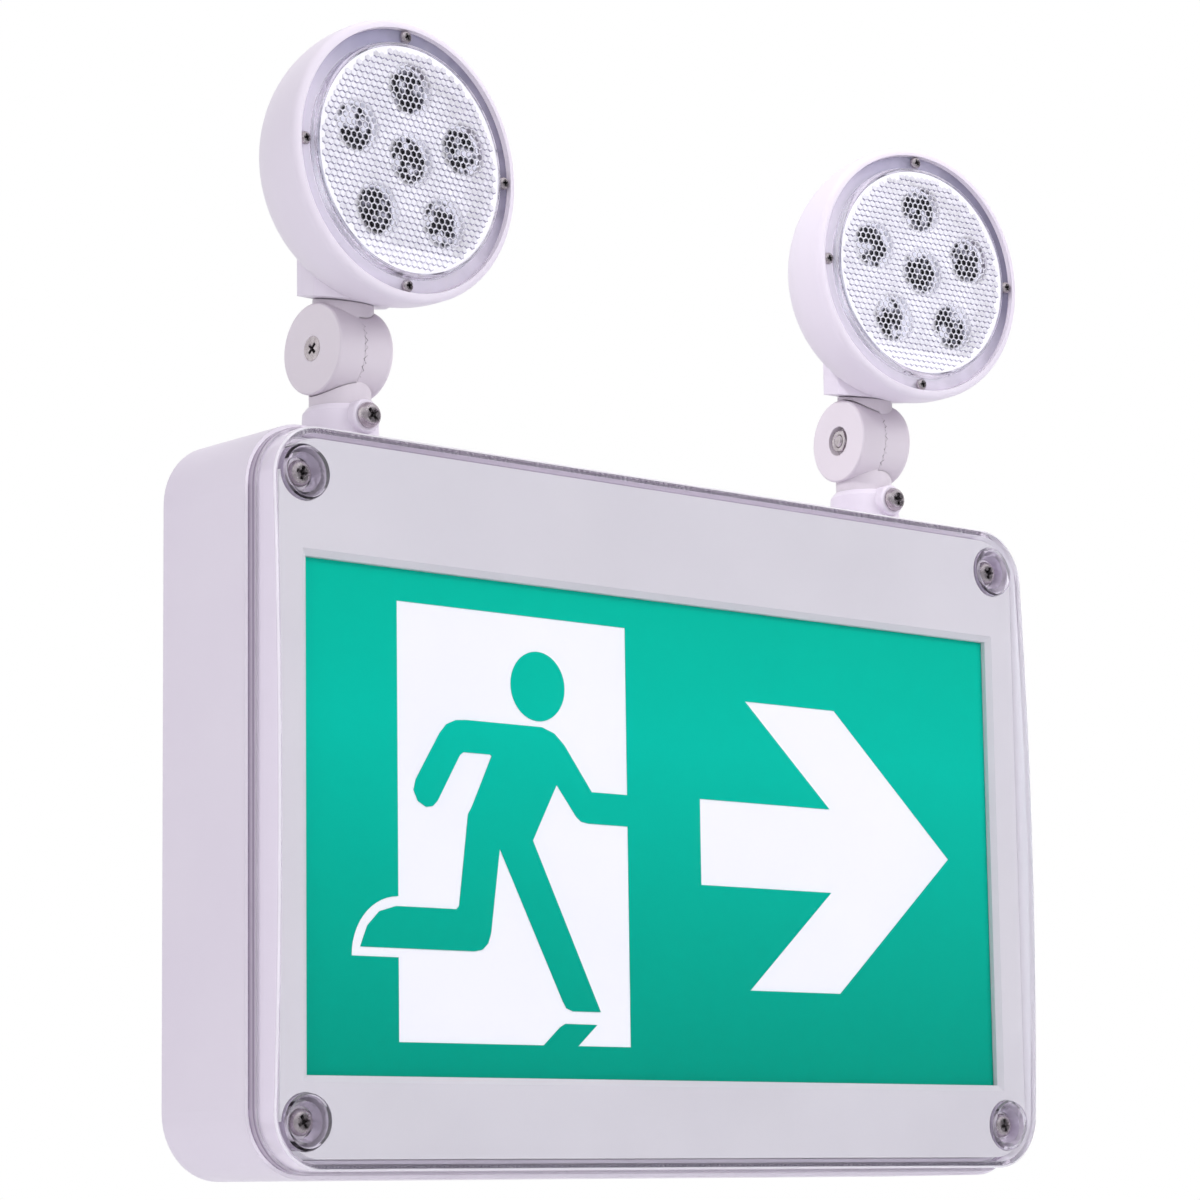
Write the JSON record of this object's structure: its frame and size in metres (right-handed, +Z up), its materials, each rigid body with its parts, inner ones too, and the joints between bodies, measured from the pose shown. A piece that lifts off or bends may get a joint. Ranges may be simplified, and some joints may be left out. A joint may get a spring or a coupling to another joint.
{
  "type": "emergency exit light",
  "caption": "Wall exit light: deep housing with a bowed clear cover over a green running-figure and arrow legend, and round lamp heads that turn and tilt on knuckles on top.",
  "frame": {"origin": "centre of the flat wall face of the housing", "axes": "+Z up, +X along the sign to the viewer's right, front faces -Y, +Y into the wall"},
  "size_m": [0.32, 0.0621, 0.3451],
  "materials": {
    "housing_plastic": "satin moulded",
    "cover_clear": "clear gloss",
    "seal_rubber": "soft",
    "screw_steel": "polished",
    "frame_plastic": "satin",
    "legend_green": "printed",
    "legend_white": "printed",
    "diffuser_opal": "opal",
    "tray_plastic": "satin",
    "strip_board": "white solder mask",
    "emitter_yellow": "gloss",
    "cradle_plastic": "moulded",
    "cell_wrap": "shrink film",
    "circuit_board": "solder mask",
    "transformer_case": "laminated",
    "relay_case": "gloss",
    "capacitor_can": "sleeved",
    "socket_plastic": "moulded",
    "switch_plastic": "moulded",
    "button_plastic": "moulded",
    "pilot_clear": "clear",
    "lens_clear": "patterned",
    "optic_clear": "clear"
  },
  "bodies": {
    "sign_body": {"back_housing": "housing_plastic", "front_cover": "cover_clear", "cover_seal": "seal_rubber", "cover_screws": "screw_steel", "face_frame": "frame_plastic", "light_tray": "tray_plastic", "tray_screws": "screw_steel", "legend_diffuser": "diffuser_opal", "legend_sheet": "legend_white", "legend_print": "legend_green", "strip_boards": "strip_board", "strip_emitters": "emitter_yellow", "battery_cradle": "cradle_plastic", "battery_cells": "cell_wrap", "battery_straps": "cradle_plastic", "control_board": "circuit_board", "board_screws": "screw_steel", "transformer": "transformer_case", "board_relays": "relay_case", "board_capacitors": "capacitor_can", "board_sockets": "socket_plastic", "terminal_block": "socket_plastic", "terminal_screws": "screw_steel", "test_switch": "switch_plastic", "pilot_lamp": "pilot_clear", "clamp_screws": "screw_steel"},
    "test_button": {"test_button": "button_plastic"},
    "left_stem": {"left_lower_arm": "housing_plastic", "left_pivot_nut": "screw_steel"},
    "left_head": {"left_upper_arm": "housing_plastic", "left_pivot_screw": "screw_steel", "left_head_shell": "housing_plastic", "left_head_nut": "screw_steel", "left_lens": "lens_clear", "left_lens_seal": "seal_rubber", "left_lens_screws": "screw_steel", "left_led_board": "strip_board", "left_led_emitters": "emitter_yellow", "left_led_optics": "optic_clear"},
    "right_stem": {"right_lower_arm": "housing_plastic", "right_pivot_nut": "screw_steel"},
    "right_head": {"right_upper_arm": "housing_plastic", "right_pivot_screw": "screw_steel", "right_head_shell": "housing_plastic", "right_head_nut": "screw_steel", "right_lens": "lens_clear", "right_lens_seal": "seal_rubber", "right_lens_screws": "screw_steel", "right_led_board": "strip_board", "right_led_emitters": "emitter_yellow", "right_led_optics": "optic_clear"}
  },
  "joints": [
    {"name": "test_button_press", "type": "slide", "parent": "sign_body", "child": "test_button", "axis": [0, 0, 1], "range_m": [0, 0.0015], "stiffness_N_per_m": 300, "springref_m": -0.001},
    {"name": "left_stem_turn", "type": "hinge", "parent": "sign_body", "child": "left_stem", "pos_m": [-0.112, -0.02375, 0.12], "axis": [0, 0, 1], "range_deg": [-61.5, 58.5]},
    {"name": "left_head_tilt", "type": "hinge", "parent": "left_stem", "child": "left_head", "pos_m": [-0.112, -0.02375, 0.1387], "axis": [0.9997, 0.0262, 0], "range_deg": [-12, 60]},
    {"name": "right_stem_turn", "type": "hinge", "parent": "sign_body", "child": "right_stem", "pos_m": [0.112, -0.02375, 0.12], "axis": [0, 0, 1], "range_deg": [-53.3, 66.7]},
    {"name": "right_head_tilt", "type": "hinge", "parent": "right_stem", "child": "right_head", "pos_m": [0.112, -0.02375, 0.1387], "axis": [0.9932, -0.1167, 0], "range_deg": [-12, 60]}
  ]
}
